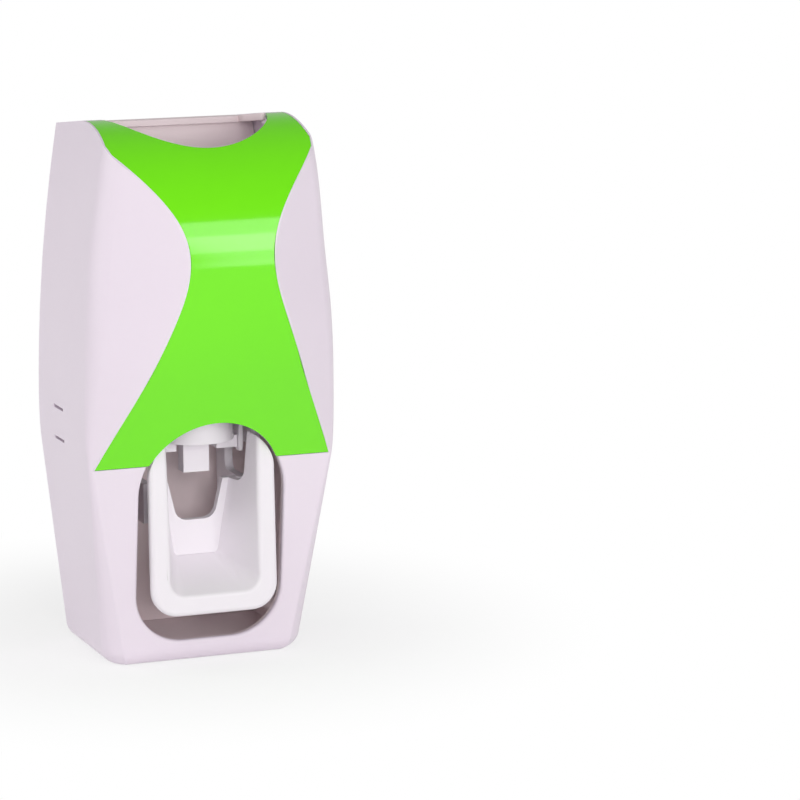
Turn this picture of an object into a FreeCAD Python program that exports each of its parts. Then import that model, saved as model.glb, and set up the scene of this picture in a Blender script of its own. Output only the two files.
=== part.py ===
import FreeCAD, Part
import math
import os

import Sketcher
from FreeCAD import Placement, Rotation, Vector

# Wall-mounted toothpaste dispenser. A tube stands neck down in the open top. A brush pushed into
# the scoop swings it back on its pin, the bar at the top of the scoop's arms drives a piston
# forward, and the piston presses paste out of the spout onto the bristles. A spring returns both.
#
# Everything is drawn with the base at Z = 0, the rear face of the housing at Y = 0 and the front
# towards -Y. Placements then move it so that the origin is the middle of the pad's wall face.

SIZES = {
    # Housing outline, seen from the front
    "back_height": 156, "base_drop": 1.8, "hip_z": 60, "crest_rise": 12, "crest_half": 38.6,
    "hip_bow": 102, "crest_bow": 510, "side_draft": 0.2, "corner_radius": 11, "hip_radius": 1.6,
    "base_corner": 8, "edge_radius": 1.2, "base_cut": 5, "hip_cut": 1, "least_cut": 0.6,
    "least_radius": 0.3, "base_round": 5, "top_clear": 8,
    # Housing outline, seen from the side
    "base_depth": 41, "hip_depth": 47.6, "waist_swell": 19.6, "roof_fall": 3.2,
    "roll_radius": 40, "breast_share": 0.786,
    # Flat cheeks that cut the hourglass out of the bulging front
    "cheek_angle": 38, "cheek_reach": 63, "cheek_rise": 35, "cheek_ease": 1.15, "cheek_slim": 60.55,
    "cheek_fall": 35, "cheek_lean": 43, "cheek_bow": 80, "limit_lead": 9.2, "limit_clear": 2,
    # Walls of the housing
    "wall": 2.6, "floor_thick": 3.6, "backing": 1.6, "roof_thick": 1.6,
    # Coloured panel
    "panel_thick": 1.6, "panel_lip": 0.7, "panel_gap": 0.2, "panel_seat": 0.05, "ear_depth": 25,
    "kink_drop": 4, "kink_rise": 2.2, "arch_radius": 21.6,
    "arch_rise": 0.9, "mouth_half": 24.5, "mouth_depth": 49, "mouth_overhang": 0.5,
    "peg_radius": 1.6, "peg_length": 2.5, "peg_gap": 0.1, "peg_low_x": 26, "peg_rise": 8,
    "peg_high_x": 7, "peg_drop": 1.2,
    # Trigger window and side slits
    "window_half": 22.5, "window_drop": 10, "window_base_z": 5.3, "window_round": 15, "window_soft": 0.8,
    "slit_rise": 4, "slit_step": 9.5, "slit_depth": 15, "slit_length": 9.5, "slit_width": 0.9,
    # Rear wall, its screw posts and the wall pad
    "plate_thick": 2.5, "plate_gap": 0.2, "bead_height": 1.8, "bead_depth": 1.2,
    "post_radius": 3, "post_low_inset": 7.1294, "post_low_z": 11, "post_high_inset": 6.0667,
    "post_drop": 16,
    "screw_radius": 1.2, "screw_gap": 0.05, "screw_length": 11, "head_radius": 2.5,
    "head_height": 1.3, "pad_thick": 1.2, "pad_width": 44, "pad_height": 100, "pad_round": 4,
    "mount_height": 80,
    # Pump
    "pump_z": 80, "bore_radius": 7, "barrel_wall": 2.5, "barrel_rear": 21, "barrel_front": 43.5,
    "boss_depth": 30, "boss_radius": 12, "boss_base_z": 64, "port_radius": 2.5,
    "neck_radius": 10.4, "neck_top_z": 98, "seat_z": 89, "sleeve_base_z": 91.4,
    "ledge_inner": 6.3, "ledge_outer": 12.7, "ledge_base_z": 60.7, "ledge_deep": 5.6,
    "ledge_joint": 0.3, "rib_inner": 12.9, "rib_thick": 1.2, "rib_base_z": 59.7, "rib_run": 3,
    "bracket_inner": 16.7, "bracket_thick": 2.5, "bracket_base_z": 61, "bracket_front": 34,
    "web_thick": 2.5, "web_rear": 23, "flange_width": 9, "flange_thick": 3, "pump_screw_x": 22.2,
    "pump_screw_length": 4.6,
    # Tube sleeve, valves and deck
    "sleeve_wall": 2.6, "tube_neck_radius": 6, "sleeve_flange": 11.5, "sleeve_flange_thick": 1.5,
    "fit_gap": 0.1, "valve_thick": 1, "flap_slit": 0.4, "ring_wall": 2, "deck_thick": 2,
    "deck_gap": 0.4,
    # Spout
    "spout_half": 4, "spout_long": 4.8, "spout_base_z": 54, "spout_bore": 1.8, "spout_disc": 7.8,
    "spout_disc_thick": 1.5, "outlet_radius": 4, "outlet_height": 2.2,
    # Piston, seals and spring
    "piston_rest": 27, "piston_head": 6, "piston_stem": 3, "piston_slide_gap": 0.06,
    "seal_wire": 1, "spring_flange": 9, "spring_flange_thick": 1.5, "dome_height": 1.5,
    "dome_radius": 2.5, "push_gap": 0.3, "spring_radius": 8.2, "spring_wire": 0.4,
    "spring_turns": 4, "spring_gap": 0.15, "cap_plug": 3, "cap_flange": 1.5,
    # Trigger: pin, arms and push bar
    "pivot_depth": 14.5, "pivot_z": 66, "pin_radius": 1.5, "pin_fit": 0.02, "pin_run": 0.05,
    "pin_end": 1.6, "clip_thick": 0.5, "clip_radius": 3, "clip_gap": 0.2, "arm_inner": 13.7,
    "arm_thick": 2.5, "eye_radius": 4, "bar_front": 9.3, "bar_gap": 0.3, "bar_height": 8,
    # Trigger: scoop
    "rim_half": 19.5, "rim_width": 5.2, "rim_base_z": 14.5, "rim_top_z": 69, "rim_thick": 2.6,
    "rim_round": 8, "rim_soft": 1.5, "rim_top_round": 13.5, "rim_low_depth": 49.7,
    "rim_high_depth": 47.3, "rim_high_z": 59, "scoop_lip": 0.6, "scoop_wall": 1.9, "scoop_rear": 28.8,
    "scoop_low_half": 5.75, "scoop_high_half": 9.8, "scoop_rear_z": 29.7, "scoop_round": 1.5,
    "side_rear": 39.5, "side_round": 4, "notch_plate": 2.5, "notch_base_z": 39.3, "notch_half": 5.75,
    "notch_flare": 2.9, "notch_round": 4, "horn_z": 51.2, "flange_half": 15.5, "knee_round": 3,
}

document = FreeCAD.newDocument("dispenser")
sheet = document.addObject("Spreadsheet::Sheet", "Sizes")
for row, (alias, value) in enumerate(SIZES.items(), start=1):
    sheet.set("A%d" % row, alias)
    sheet.set("B%d" % row, str(value))
    sheet.setAlias("B%d" % row, alias)
document.recompute()


class Values:
    """Reads a driving dimension from the sheet by its name."""

    def __getattr__(self, alias):
        return float(sheet.get(alias))


d = Values()
sub_parts = []


def place(item, x="0", y="0", z="0", rotation=Rotation()):
    """Put a sub-part, drawn from the base, where the wall pad's middle is the origin."""
    item.Placement = Placement(Vector(), rotation)
    item.setExpression("Placement.Base.x", x)
    item.setExpression("Placement.Base.y", "%s - Sizes.pad_thick" % y)
    item.setExpression("Placement.Base.z", "%s - Sizes.mount_height" % z)


def sub_part(item, label):
    item.Label = label
    sub_parts.append(item)
    return item


def shaped(label, shape):
    """A sub-part whose shape is worked out from the sheet."""
    item = document.addObject("Part::Feature", label)
    item.Shape = shape
    place(item)
    return sub_part(item, label)


# Sketched sub-parts

def new_body(label):
    return sub_part(document.addObject("PartDesign::Body", label), label)


def new_sketch(body, role, name):
    plane = [item for item in body.Origin.OriginFeatures if item.Role == role][0]
    sketch = body.newObject("Sketcher::SketchObject", name)
    sketch.AttachmentSupport = (plane, [""])
    sketch.MapMode = "FlatFace"
    return sketch


def evaluate(expression):
    return float(sheet.evalExpression(expression.replace("Sizes.", "")))


def bind(sketch, kind, elements, expression):
    index = sketch.addConstraint(Sketcher.Constraint(kind, *elements, evaluate(expression)))
    sketch.setExpression("Constraints[%d]" % index, expression)


def bind_point(sketch, element, corner, x, y):
    """Hold a point at two expressions, or on an axis where one of them is 0."""
    for kind, axis, expression in (("DistanceX", -2, x), ("DistanceY", -1, y)):
        if expression == "0":
            sketch.addConstraint(Sketcher.Constraint("PointOnObject", element, corner, axis))
        else:
            bind(sketch, kind, (-1, 1, element, corner), expression)


def polygon(body, role, name, corners):
    """A closed outline whose corners are pairs of expressions."""
    sketch = new_sketch(body, role, name)
    points = [Vector(evaluate(x), evaluate(y), 0) for x, y in corners]
    count = len(points)
    for index in range(count):
        sketch.addGeometry(Part.LineSegment(points[index], points[(index + 1) % count]))
    for index in range(count):
        sketch.addConstraint(Sketcher.Constraint("Coincident", index, 2, (index + 1) % count, 1))
    for index, (x, y) in enumerate(corners):
        bind_point(sketch, index, 1, x, y)
    return sketch


def circle(body, role, name, x, y, radius):
    sketch = new_sketch(body, role, name)
    centre = Vector(evaluate(x), evaluate(y), 0)
    sketch.addGeometry(Part.Circle(centre, Vector(0, 0, 1), evaluate(radius)))
    bind_point(sketch, 0, 3, x, y)
    bind(sketch, "Radius", (0,), radius)
    return sketch


def extrude(body, kind, sketch, length, name, symmetric=False, reverse=False):
    feature = body.newObject("PartDesign::" + kind, name)
    feature.Profile = sketch
    feature.setExpression("Length", length)
    feature.SideType = "Symmetric" if symmetric else "One side"
    feature.Reversed = reverse
    document.recompute()
    return feature


def turned(label, corners, x="0", y="0", z="0", rotation=Rotation()):
    """A turned piece: radius and height expressions, spun about its own Z axis."""
    body = new_body(label)
    outline = polygon(body, "XZ_Plane", label + "_outline", corners)
    spin = body.newObject("PartDesign::Revolution", label + "_turn")
    spin.Profile = outline
    spin.ReferenceAxis = (outline, ["V_Axis"])
    spin.Angle = 360
    place(body, x, y, z, rotation)
    document.recompute()
    return body


# Pieces joined from primitives

TO_REAR = Rotation(Vector(1, 0, 0), -90)
TO_FRONT = Rotation(Vector(1, 0, 0), 90)
TO_RIGHT = Rotation(Vector(0, 1, 0), 90)


def primitive(kind, name, sizes, x, y, z, rotation=Rotation()):
    item = document.addObject("Part::" + kind, name)
    item.Placement = Placement(Vector(), rotation)
    for key, expression in sizes.items():
        item.setExpression(key, expression)
    for axis, expression in zip("xyz", (x, y, z)):
        item.setExpression("Placement.Base." + axis, expression)
    return item


def rod(name, radius, length, x, y, z, rotation=Rotation()):
    return primitive("Cylinder", name, {"Radius": radius, "Height": length}, x, y, z, rotation)


def block(name, width, depth, height, x, y, z):
    return primitive("Box", name, {"Length": width, "Width": depth, "Height": height}, x, y, z)


def joined(label, solids, tools):
    union = document.addObject("Part::MultiFuse", label + "_union")
    union.Shapes = solids
    cutters = document.addObject("Part::MultiFuse", label + "_cutters")
    cutters.Shapes = tools
    cut = document.addObject("Part::Cut", label)
    cut.Base = union
    cut.Tool = cutters
    place(cut)
    document.recompute()
    return sub_part(cut, label)


# Shape helpers

def rounded(before, corner, after, radius):
    """Start, middle and end of the arc that rounds a corner."""
    to_before = (before - corner).normalize()
    to_after = (after - corner).normalize()
    half = to_before.getAngle(to_after) / 2
    inward = (to_before + to_after).normalize()
    run = radius / math.tan(half)
    middle = corner + inward * (radius / math.sin(half) - radius)
    return corner + to_before * run, middle, corner + to_after * run


def outline_wire(corners):
    """A closed wire through (point, radius) corners, rounded where the radius isn't 0."""
    count = len(corners)
    ends = []
    for index, (point, radius) in enumerate(corners):
        if radius:
            before = corners[index - 1][0]
            after = corners[(index + 1) % count][0]
            ends.append(rounded(before, point, after, radius))
        else:
            ends.append((point, None, point))
    edges = []
    for index, (start, middle, end) in enumerate(ends):
        if middle:
            edges.append(Part.Arc(start, middle, end).toShape())
        following = ends[(index + 1) % count][0]
        edges.append(Part.LineSegment(end, following).toShape())
    return Part.Wire(edges)


def prism(corners, direction):
    return Part.Face(outline_wire(corners)).extrude(direction)


def mirrored(shape):
    return shape.mirror(Vector(), Vector(1, 0, 0))


def both_sides(shape):
    return [shape, mirrored(shape)]


def cylinder(radius, start, end):
    axis = end - start
    return Part.makeCylinder(radius, axis.Length, start, axis)


REACH = 200
TOUCH = 0.002
SAMPLES = 5


# Housing outline

DRAFT = math.tan(math.radians(d.side_draft))
CHEEK_SIN = math.sin(math.radians(d.cheek_angle))
CHEEK_COS = math.cos(math.radians(d.cheek_angle))
SLIVER = 0.1
CREST_Z = d.hip_z + d.crest_rise
HIP_SLOPE = d.crest_rise / d.hip_bow
HIP_HALF = d.crest_half - d.crest_rise ** 2 / (2 * d.hip_bow)
CHEEK_Z = d.hip_z + d.cheek_rise
WAIST_Z = d.back_height + d.roof_fall - d.roll_radius
WAIST_DEPTH = d.hip_depth + d.waist_swell
FLOOR_Z = d.floor_thick - d.base_drop
# The longest arc that could run from the waist to the hip, shortened to leave a straight chin
BREAST_RADIUS = d.breast_share * ((WAIST_Z - d.hip_z) ** 2 / d.waist_swell + d.waist_swell) / 2


def half_width(z):
    """Half width at the rear face: a straight taper up to the hip, then two soft bows."""
    if z < d.hip_z:
        return HIP_HALF - HIP_SLOPE * (d.hip_z - z)
    bow = d.hip_bow if z < CREST_Z else d.crest_bow
    return d.crest_half - (z - CREST_Z) ** 2 / (2 * bow)


def lower_front(z):
    return d.base_depth + (d.hip_depth - d.base_depth) * z / d.hip_z


def corner_reach(half, front, cut):
    """Distance of the cheek from the Z axis where it takes a width off the front corner."""
    return CHEEK_SIN * (half - DRAFT * front - cut) + CHEEK_COS * front


HIP_REACH = corner_reach(HIP_HALF, d.hip_depth, d.hip_cut)


def cheek_reach(z):
    """Distance of the cheek from the Z axis: fullest above the hip, slimmer beside the roll."""
    if z <= d.hip_z:
        cut = d.base_cut + (d.hip_cut - d.base_cut) * z / d.hip_z
        return corner_reach(half_width(z), lower_front(z), cut)
    if z < CHEEK_Z:
        share = (CHEEK_Z - z) / d.cheek_rise
        return d.cheek_reach - (d.cheek_reach - HIP_REACH) * share ** d.cheek_ease
    share = min(1, (z - CHEEK_Z) / d.cheek_fall)
    ease = (1 + math.cos(math.pi * share)) / 2
    above = max(0, z - CHEEK_Z - d.cheek_lean)
    return d.cheek_slim + (d.cheek_reach - d.cheek_slim) * ease - above ** 2 / (2 * d.cheek_bow)


def crease_radius(z):
    """Rounding between side and cheek: tightest at the hip."""
    if z <= d.hip_z:
        return d.hip_radius + (d.base_corner - d.hip_radius) * (1 - z / d.hip_z)
    share = min(1, (z - d.hip_z) / d.cheek_rise)
    return d.hip_radius + (d.corner_radius - d.hip_radius) * share


def front_limit(z):
    """Front of the section: the lower front, then clear ahead of the bulge that trims it."""
    if z <= d.hip_z:
        return lower_front(z)
    clear = WAIST_DEPTH + d.limit_clear
    share = min(1, (z - d.hip_z) / (WAIST_Z - d.limit_lead - d.hip_z))
    return d.hip_depth + (clear - d.hip_depth) * (1 - (1 - share) ** 2)


def section(z, inset=0, rear=0):
    """Level outline of the housing at height z."""
    half = half_width(z) - inset
    front = front_limit(z) - inset
    reach = min(cheek_reach(z) - inset, corner_reach(half, front, d.least_cut))
    crease = (reach - CHEEK_SIN * half) / (CHEEK_COS - CHEEK_SIN * DRAFT)
    right = [
        (half + DRAFT * rear, rear, 0),
        (half - DRAFT * crease, -crease, max(crease_radius(z) - inset, d.least_radius)),
        ((reach - CHEEK_COS * front) / CHEEK_SIN, -front, max(d.edge_radius - inset, d.least_radius)),
    ]
    left = [(-x, y, r) for x, y, r in reversed(right)]
    return outline_wire([(Vector(x, y, z), r) for x, y, r in right + left])


UPPER_STEPS = 8
ROUND_STEPS = 4
TOP = d.back_height + d.top_clear


def upper_loft(inset=0, rear=0):
    step = (TOP - d.hip_z) / UPPER_STEPS
    levels = [d.hip_z + step * index for index in range(UPPER_STEPS + 1)]
    return Part.makeLoft([section(z, inset, rear) for z in levels], True, False)


def lower_loft(base, inset=0, rear=0):
    return Part.makeLoft([section(z, inset, rear) for z in (base, d.hip_z)], True, True)


def rounded_base():
    """The lowest stretch, drawn in along a quarter circle."""
    wires = []
    for index in range(ROUND_STEPS + 1):
        turn = math.pi / 2 * index / ROUND_STEPS
        z = d.base_round * (1 - math.cos(turn)) - d.base_drop
        inset = d.base_round * (1 - math.sin(turn))
        wires.append(section(z, inset))
    return Part.makeLoft(wires, True, False)


def tangent_angle(centre, radius, point, side):
    """Angle at which a line from a point touches a circle."""
    away = point - centre
    return math.atan2(away.z, away.x) + side * math.acos(radius / away.Length)


# The side view is worked out with depth along +X, then turned so that depth runs along -Y.
ROLL_CENTRE = Vector(WAIST_DEPTH - d.roll_radius, 0, WAIST_Z)
BREAST_CENTRE = Vector(WAIST_DEPTH - BREAST_RADIUS, 0, WAIST_Z)
ROLL_TURN = tangent_angle(ROLL_CENTRE, d.roll_radius, Vector(0, 0, d.back_height), -1)
BREAST_TURN = tangent_angle(BREAST_CENTRE, BREAST_RADIUS, Vector(d.hip_depth, 0, d.hip_z), 1)


def on_circle(centre, radius, angle):
    return centre + Vector(radius * math.cos(angle), 0, radius * math.sin(angle))


def bulge(inset=0):
    """Solid behind the rolled top and bulging front, open below the hip."""
    roll = d.roll_radius - inset
    breast = BREAST_RADIUS - inset
    rear_point = on_circle(ROLL_CENTRE, roll, ROLL_TURN)
    front_point = on_circle(ROLL_CENTRE, roll, 0)
    chin_point = on_circle(BREAST_CENTRE, breast, BREAST_TURN)
    chin_run = (chin_point.z - d.hip_z) / math.cos(BREAST_TURN)
    chin_end = chin_point + Vector(math.sin(BREAST_TURN), 0, -math.cos(BREAST_TURN)) * chin_run
    rear_run = REACH / 2
    rear_way = Vector(-math.sin(ROLL_TURN), 0, math.cos(ROLL_TURN))
    rear_end = rear_point + rear_way * rear_run
    points = [
        chin_end, Vector(REACH, 0, d.hip_z), Vector(REACH, 0, -REACH),
        Vector(rear_end.x, 0, -REACH), rear_end, rear_point,
    ]
    edges = [Part.LineSegment(a, b).toShape() for a, b in zip(points, points[1:])]
    middle = on_circle(ROLL_CENTRE, roll, ROLL_TURN / 2)
    edges.append(Part.Arc(rear_point, middle, front_point).toShape())
    middle = on_circle(BREAST_CENTRE, breast, BREAST_TURN / 2)
    edges.append(Part.Arc(front_point, middle, chin_point).toShape())
    edges.append(Part.LineSegment(chin_point, chin_end).toShape())
    solid = Part.Face(Part.Wire(edges)).extrude(Vector(0, 2 * REACH, 0))
    solid.translate(Vector(0, -REACH, 0))
    solid.rotate(Vector(), Vector(0, 0, 1), -90)
    return solid


def front_at(z):
    """Depth of the front face at a height above the hip."""
    rise = z - WAIST_Z
    if rise >= 0:
        return ROLL_CENTRE.x + math.sqrt(d.roll_radius ** 2 - rise ** 2)
    chin = on_circle(BREAST_CENTRE, BREAST_RADIUS, BREAST_TURN)
    if z > chin.z:
        return BREAST_CENTRE.x + math.sqrt(BREAST_RADIUS ** 2 - rise ** 2)
    return chin.x + (chin.z - z) * math.tan(BREAST_TURN)


def mouth(margin):
    """Plan of the open top: straight sides and a round front."""
    half = d.mouth_half + margin
    depth = d.mouth_depth + margin
    corners = [
        (Vector(half, REACH, WAIST_Z), 0), (Vector(half, -depth, WAIST_Z), half - SLIVER),
        (Vector(-half, -depth, WAIST_Z), half - SLIVER), (Vector(-half, REACH, WAIST_Z), 0),
    ]
    return prism(corners, Vector(0, 0, REACH))


def panel_edge(z):
    """Half width of the housing across its front face at a height above the hip."""
    depth = front_at(z) - SLIVER
    across = Part.makeLine(Vector(0, -depth, z), Vector(REACH, -depth, z))
    return Part.Face(section(z)).common(across).BoundBox.XMax


def hourglass(margin):
    """Front view of the panel: along the cheeks up to a kink, then up along the ears."""
    kink_z = d.back_height - d.kink_drop
    step = (kink_z - d.hip_z) / UPPER_STEPS
    levels = [d.hip_z + step * index for index in range(UPPER_STEPS + 1)]
    points = [Vector(panel_edge(z) - margin, 0, z) for z in levels]
    curve = Part.BSplineCurve()
    curve.interpolate(points)
    shoulder_z = kink_z + d.kink_rise
    shoulder = Vector(panel_edge(shoulder_z) - margin, 0, shoulder_z)
    ear = Vector(half_width(TOP) - DRAFT * d.ear_depth - margin, 0, TOP)
    edges = [curve.toShape(), Part.makeLine(points[-1], shoulder), Part.makeLine(shoulder, ear)]
    edges += [mirrored(edge) for edge in edges]
    for corner in (points[0], ear):
        edges.append(Part.makeLine(corner, Vector(-corner.x, corner.y, corner.z)))
    return Part.Face(Part.Wire(Part.sortEdges(edges)[0])).extrude(Vector(0, -REACH, 0))


def panel_space(margin, thickness):
    """Skin of the front inside the hourglass, from the hip to the ends of the ears."""
    skin = upper_loft().common(bulge()).common(hourglass(margin))
    core = upper_loft(thickness, thickness).common(bulge(thickness))
    rear = Part.makeBox(2 * REACH, REACH, 2 * REACH)
    rear.translate(Vector(-REACH, -d.ear_depth - margin, -REACH))
    return skin.cut([core, rear])


WINDOW_TOP = d.hip_z - d.window_drop
ARCH_Z = WINDOW_TOP + d.arch_rise
PEGS = [
    (side * x, z)
    for x, z in ((d.peg_low_x, d.hip_z + d.peg_rise), (d.peg_high_x, WAIST_Z - d.peg_drop))
    for side in (1, -1)
]
POSTS = [
    (side * (half_width(z) - inset), z)
    for inset, z in (
        (d.post_low_inset, d.post_low_z), (d.post_high_inset, d.back_height - d.post_drop),
    )
    for side in (1, -1)
]


def peg(x, z, radius, length):
    front = -front_at(z) + d.panel_thick / 2
    end = -front_at(z) + d.panel_thick + d.backing + length
    return cylinder(radius, Vector(x, front, z), Vector(x, end, z))


def window():
    """Round-topped opening in the lower front."""
    half = d.window_half
    base = d.window_base_z
    corners = [
        (Vector(half, -REACH, base), d.window_round),
        (Vector(half, -REACH, WINDOW_TOP + half), half - SLIVER),
        (Vector(-half, -REACH, WINDOW_TOP + half), half - SLIVER),
        (Vector(-half, -REACH, base), d.window_round),
    ]
    return prism(corners, Vector(0, REACH - d.base_depth / 2, 0))


def on_window_rim(edge):
    points = edge.discretize(SAMPLES)
    flush = all(abs(point.y + lower_front(point.z)) < TOUCH for point in points)
    inside = all(abs(point.x) < d.window_half + TOUCH for point in points)
    below = all(point.z < d.hip_z + TOUCH for point in points)
    return flush and inside and below and edge.BoundBox.ZMin < d.hip_z - TOUCH


def make_front_shell():
    lower = lower_loft(d.base_round - d.base_drop)
    outer = rounded_base().fuse([lower, upper_loft()]).common(bulge())
    rear = d.wall
    hollow = lower_loft(FLOOR_Z, d.wall, rear).fuse(upper_loft(d.wall, rear))
    hollow = hollow.common(bulge(d.panel_thick + d.backing))
    # Behind the ears the roof is as thin as the rest of the moulding allows
    behind = Part.makeBox(2 * REACH, REACH, 2 * REACH)
    behind.translate(Vector(-REACH, d.wall - d.ear_depth, -REACH))
    attic = upper_loft(d.wall, rear).common(bulge(d.roof_thick)).common(behind)
    shell = outer.cut([hollow, attic])
    front = Vector(0, -REACH, 0)
    posts = []
    pilots = []
    seat = -d.plate_thick
    for x, z in POSTS:
        foot = Vector(x, seat, z)
        posts.append(cylinder(d.post_radius, foot, foot + front).common(outer))
        depth = Vector(0, -d.screw_length, 0)
        pilots.append(cylinder(d.screw_radius + d.screw_gap, foot, foot + depth))
    shell = shell.fuse(posts)
    pocket = panel_space(d.panel_lip - d.panel_gap, d.panel_thick + d.panel_seat)
    cutters = [pocket, mouth(d.mouth_overhang)]
    cutters += [window()] + pilots
    for x, z in PEGS:
        cutters.append(peg(x, z, d.peg_radius + d.peg_gap, d.peg_length))
    for level in (d.hip_z + d.slit_rise, d.hip_z + d.slit_rise + d.slit_step):
        slit = Part.makeBox(REACH, d.slit_length, d.slit_width)
        slit.translate(Vector(d.window_half, -d.slit_depth - d.slit_length, level))
        cutters += both_sides(slit)
    shell = shell.cut(cutters)
    rim = [edge for edge in shell.Edges if on_window_rim(edge)]
    shaped("front_shell", shell.makeFillet(d.window_soft, rim))


def make_front_panel():
    panel = panel_space(d.panel_lip, d.panel_thick)
    arch = cylinder(d.arch_radius, Vector(0, -REACH, ARCH_Z), Vector(0, 0, ARCH_Z))
    below = Part.makeBox(2 * REACH, 2 * REACH, REACH)
    below.translate(Vector(-REACH, -REACH, d.hip_z + d.panel_gap - REACH))
    panel = panel.cut([arch, below, mouth(0)])
    pegs = [peg(x, z, d.peg_radius, d.peg_length) for x, z in PEGS]
    shaped("front_panel", panel.fuse(pegs))


def make_back_plate():
    """Rear wall between the sides of the shell, with a bead along its top edge."""
    inset = d.wall + d.plate_gap
    levels = [FLOOR_Z + d.plate_gap, d.hip_z, CREST_Z, d.back_height]
    middle = (CREST_Z + d.back_height) / 2
    right = [Vector(half_width(z) - inset, 0, z) for z in levels]
    bow = Vector(half_width(middle) - inset, 0, middle)
    low_bow_z = (d.hip_z + CREST_Z) / 2
    low_bow = Vector(half_width(low_bow_z) - inset, 0, low_bow_z)
    edges = [
        Part.LineSegment(right[0], right[1]).toShape(),
        Part.Arc(right[1], low_bow, right[2]).toShape(),
        Part.Arc(right[2], bow, right[3]).toShape(),
    ]
    edges += [mirrored(edge) for edge in edges]
    for corner in (right[0], right[-1]):
        edges.append(Part.LineSegment(corner, Vector(-corner.x, corner.y, corner.z)).toShape())
    plate = Part.Face(Part.Wire(Part.sortEdges(edges)[0])).extrude(Vector(0, -d.plate_thick, 0))
    tongue = plate.common(mouth(d.mouth_overhang - d.plate_gap))
    plate = plate.common(bulge(d.roof_thick + d.plate_gap)).fuse(tongue)
    bead = Part.makeBox(2 * d.mouth_half, d.bead_depth, d.bead_height)
    top = d.back_height - d.bead_height
    bead.translate(Vector(-d.mouth_half, -d.plate_thick - d.bead_depth, top))
    drills = []
    for x, z in POSTS:
        face = Vector(x, 0, z)
        through = Vector(0, -REACH, 0)
        drills.append(cylinder(d.screw_radius + d.fit_gap, face, face + through))
        sink = Vector(0, -d.head_height, 0)
        drills.append(cylinder(d.head_radius + d.fit_gap, face, face + sink))
    for side in (1, -1):
        face = Vector(side * d.pump_screw_x, 0, pump_screw_z())
        through = Vector(0, -REACH, 0)
        drills.append(cylinder(d.screw_radius + d.screw_gap, face, face + through))
    shaped("back_plate", plate.fuse(bead).cut(drills))


def pump_screw_z():
    return (d.bracket_base_z + d.pump_z) / 2


def screw(length, tip, direction):
    """Pan-head screw whose head sits on the tip point and whose shank runs along direction."""
    head = cylinder(d.head_radius, tip - direction * d.head_height, tip)
    rim = [edge for edge in head.Edges if edge.isClosed()]
    far = min(rim, key=lambda edge: edge.CenterOfMass.dot(direction))
    head = head.makeFillet(d.head_height / 3, [far])
    shank = cylinder(d.screw_radius, tip, tip + direction * length)
    return head.fuse(shank)


def make_screws():
    forward = Vector(0, -1, 0)
    heads = [Vector(x, -d.head_height, z) for x, z in POSTS]
    run = d.screw_length + d.plate_thick - d.head_height - d.wall
    shaped("case_screws", Part.makeCompound([screw(run, tip, forward) for tip in heads]))
    depth = d.plate_thick + d.flange_thick
    tips = [Vector(side * d.pump_screw_x, -depth, pump_screw_z()) for side in (1, -1)]
    run = d.pump_screw_length
    shaped("pump_screws", Part.makeCompound([screw(run, tip, -forward) for tip in tips]))


def make_adhesive_pad():
    body = new_body("adhesive_pad")
    half = "Sizes.pad_width / 2"
    low = "Sizes.mount_height - Sizes.pad_height / 2"
    high = "Sizes.mount_height + Sizes.pad_height / 2"
    corners = [("-" + half, low), (half, low), (half, high), ("-" + half, high)]
    outline = polygon(body, "XZ_Plane", "pad_outline", corners)
    pad = extrude(body, "Pad", outline, "Sizes.pad_thick", "pad_foam", reverse=True)
    upright = []
    for index, edge in enumerate(pad.Shape.Edges, start=1):
        if edge.BoundBox.YLength > d.pad_thick / 2:
            upright.append("Edge%d" % index)
    soft = body.newObject("PartDesign::Fillet", "pad_corners")
    soft.Base = (pad, upright)
    soft.setExpression("Radius", "Sizes.pad_round")
    place(body)
    document.recompute()


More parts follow.
